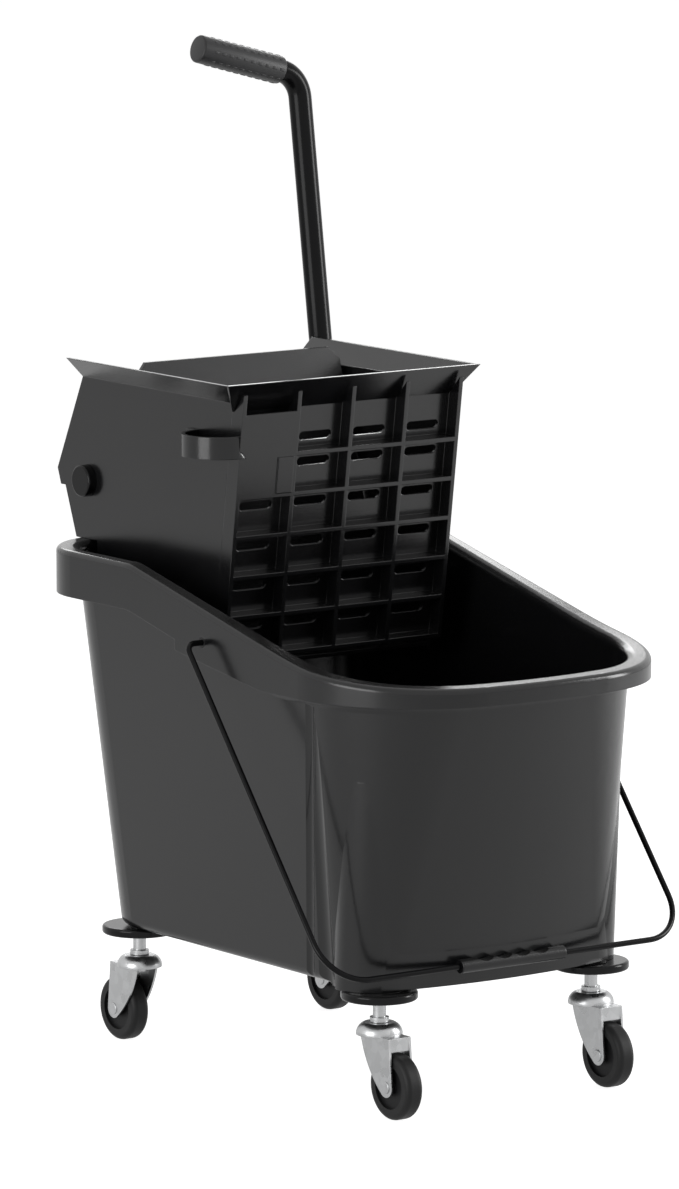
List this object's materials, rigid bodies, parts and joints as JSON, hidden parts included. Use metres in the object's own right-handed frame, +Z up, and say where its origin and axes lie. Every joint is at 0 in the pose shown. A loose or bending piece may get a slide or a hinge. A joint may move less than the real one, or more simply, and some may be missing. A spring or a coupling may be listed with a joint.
{
  "type": "mop bucket with down-press wringer",
  "caption": "Dark grey wheeled mop bucket with a low front rim, a wire bail and a lift-out wringer that presses a mop against a ribbed grid by a lever",
  "frame": {"origin": "on the floor under the casters, at the middle of the whole part's length and width", "axes": "+Z up, +X to the right seen from the low front rim, -Y towards the low front rim, +Y towards the wringer"},
  "size_m": [0.4034, 0.6238, 0.9259],
  "materials": {
    "shell_plastic": "satin moulded grey",
    "wringer_plastic": "satin moulded grey",
    "press_plastic": "satin moulded grey",
    "disc_plastic": "glossy black",
    "bush_plastic": "matt dark grey",
    "gear_plastic": "matt dark grey",
    "grip_plastic": "satin black",
    "hub_plastic": "matt black",
    "tyre_rubber": "matt black rubber",
    "grip_rubber": "matt dark grey rubber",
    "black_steel": "gloss black coating",
    "hub_casting": "satin black coating",
    "zinc_steel": "bright zinc",
    "spring_steel": "drawn steel"
  },
  "bodies": {
    "bucket": {"bucket_shell": "shell_plastic", "bumper_disc_front_left": "disc_plastic", "bumper_disc_front_right": "disc_plastic", "bumper_disc_rear_left": "disc_plastic", "bumper_disc_rear_right": "disc_plastic", "caster_stem_front_left": "zinc_steel", "caster_stem_front_right": "zinc_steel", "caster_stem_rear_left": "zinc_steel", "caster_stem_rear_right": "zinc_steel", "bail_bush_left": "bush_plastic", "bail_bush_right": "bush_plastic"},
    "swivel_front_left": {"caster_fork_front_left": "zinc_steel", "caster_axle_front_left": "zinc_steel"},
    "wheel_front_left": {"wheel_hub_front_left": "hub_plastic", "tyre_front_left": "tyre_rubber"},
    "swivel_front_right": {"caster_fork_front_right": "zinc_steel", "caster_axle_front_right": "zinc_steel"},
    "wheel_front_right": {"wheel_hub_front_right": "hub_plastic", "tyre_front_right": "tyre_rubber"},
    "swivel_rear_left": {"caster_fork_rear_left": "zinc_steel", "caster_axle_rear_left": "zinc_steel"},
    "wheel_rear_left": {"wheel_hub_rear_left": "hub_plastic", "tyre_rear_left": "tyre_rubber"},
    "swivel_rear_right": {"caster_fork_rear_right": "zinc_steel", "caster_axle_rear_right": "zinc_steel"},
    "wheel_rear_right": {"wheel_hub_rear_right": "hub_plastic", "tyre_rear_right": "tyre_rubber"},
    "bail": {"bail_wire": "black_steel", "bail_grip": "grip_plastic"},
    "wringer": {"front_grid": "wringer_plastic", "side_panel_left": "wringer_plastic", "side_panel_right": "wringer_plastic", "hopper_floor": "wringer_plastic", "rear_cover": "wringer_plastic", "tie_bar": "zinc_steel", "tie_head_left": "disc_plastic", "tie_head_right": "disc_plastic", "shaft_bush_left": "bush_plastic", "shaft_bush_right": "bush_plastic", "spring_bar": "zinc_steel", "mop_loop": "wringer_plastic", "return_spring_left": "spring_steel", "return_spring_right": "spring_steel"},
    "lever": {"pivot_shaft": "zinc_steel", "pivot_cap": "disc_plastic", "hub_nut": "disc_plastic", "pinion_left": "gear_plastic", "pinion_right": "gear_plastic", "lever_hub": "hub_casting", "lever_tube": "black_steel", "hub_bolt": "zinc_steel", "lever_grip": "grip_rubber"},
    "press": {"press_plate": "press_plastic", "rack_left": "gear_plastic", "rack_right": "gear_plastic"}
  },
  "joints": [
    {"name": "swivel_front_left", "type": "hinge", "parent": "bucket", "child": "swivel_front_left", "pos_m": [-0.119, -0.21686, 0.0845], "axis": [0, 0, 1], "continuous": true},
    {"name": "wheel_front_left", "type": "hinge", "parent": "swivel_front_left", "child": "wheel_front_left", "pos_m": [-0.119, -0.24286, 0.03], "axis": [1, 0, 0], "continuous": true},
    {"name": "swivel_front_right", "type": "hinge", "parent": "bucket", "child": "swivel_front_right", "pos_m": [0.119, -0.21686, 0.0845], "axis": [0, 0, 1], "continuous": true},
    {"name": "wheel_front_right", "type": "hinge", "parent": "swivel_front_right", "child": "wheel_front_right", "pos_m": [0.119, -0.24286, 0.03], "axis": [1, 0, 0], "continuous": true},
    {"name": "swivel_rear_left", "type": "hinge", "parent": "bucket", "child": "swivel_rear_left", "pos_m": [-0.119, 0.16414, 0.0845], "axis": [0, 0, 1], "continuous": true},
    {"name": "wheel_rear_left", "type": "hinge", "parent": "swivel_rear_left", "child": "wheel_rear_left", "pos_m": [-0.119, 0.19014, 0.03], "axis": [1, 0, 0], "continuous": true},
    {"name": "swivel_rear_right", "type": "hinge", "parent": "bucket", "child": "swivel_rear_right", "pos_m": [0.119, 0.16414, 0.0845], "axis": [0, 0, 1], "continuous": true},
    {"name": "wheel_rear_right", "type": "hinge", "parent": "swivel_rear_right", "child": "wheel_rear_right", "pos_m": [0.119, 0.19014, 0.03], "axis": [1, 0, 0], "continuous": true},
    {"name": "bail_swing", "type": "hinge", "parent": "bucket", "child": "bail", "pos_m": [0, -0.02986, 0.40926], "axis": [-1, 0, 0], "range_deg": [0, 140]},
    {"name": "wringer_lift", "type": "slide", "parent": "bucket", "child": "wringer", "axis": [0, 0, 1], "range_m": [0, 0.3]},
    {"name": "lever_turn", "type": "hinge", "parent": "wringer", "child": "lever", "pos_m": [0, 0.24114, 0.522], "axis": [-1, 0, 0], "range_deg": [0, 72], "stiffness_Nm_per_rad": 1.5, "springref_deg": -68.75},
    {"name": "press_slide", "type": "slide", "parent": "wringer", "child": "press", "axis": [0, -1, 0], "range_m": [0, 0.0405], "deforming": ["return_spring_left", "return_spring_right"]}
  ],
  "couplings": [
    {"joint": "press_slide", "follows": "lever_turn", "m_per_rad": 0.032}
  ]
}
